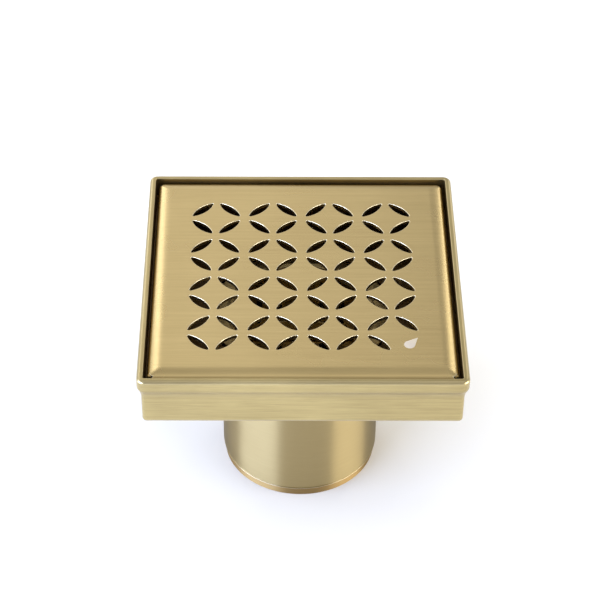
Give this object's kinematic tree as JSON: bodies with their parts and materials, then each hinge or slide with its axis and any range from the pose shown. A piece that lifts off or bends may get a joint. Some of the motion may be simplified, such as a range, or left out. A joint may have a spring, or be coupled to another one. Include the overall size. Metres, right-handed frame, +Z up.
{
  "type": "floor drain grate",
  "caption": "Square shower floor drain: shallow sheet metal pan on a round outlet pipe, with a lift-off petal-pattern grate and a lift-out hair strainer.",
  "frame": {"origin": "centre of the outlet pipe's lower end, which is the middle of the underside of the whole part's box", "axes": "+Z up along the outlet pipe, +X to the right and +Y to the back of the square rim, along its sides"},
  "size_m": [0.1016, 0.1016, 0.0762],
  "materials": {
    "pan_metal": "brushed, champagne gold coated stainless steel",
    "pipe_metal": "satin, champagne gold coated stainless steel",
    "grate_metal": "finely brushed, champagne gold coated stainless steel",
    "leg_metal": "satin",
    "strainer_metal": "satin",
    "rubber": "matt black"
  },
  "bodies": {
    "pan": {"drain_pan": "pan_metal", "outlet_pipe": "pipe_metal"},
    "grate": {"grate_plate": "grate_metal", "grate_leg_front_left": "leg_metal", "grate_leg_front_right": "leg_metal", "grate_leg_back_left": "leg_metal", "grate_leg_back_right": "leg_metal", "leg_foot_front_left": "rubber", "leg_foot_front_right": "rubber", "leg_foot_back_left": "rubber", "leg_foot_back_right": "rubber"},
    "strainer": {"strainer_cup": "strainer_metal", "strainer_gasket": "rubber", "strainer_pull_bar": "strainer_metal"}
  },
  "joints": [
    {"name": "grate_lift", "type": "slide", "parent": "pan", "child": "grate", "axis": [0, 0, 1], "range_m": [0, 0.1]},
    {"name": "strainer_lift", "type": "slide", "parent": "pan", "child": "strainer", "axis": [0, 0, 1], "range_m": [0, 0.05]}
  ],
  "couplings": [
    {"joint": "strainer_lift", "follows": "grate_lift", "ratio": 0.5}
  ]
}
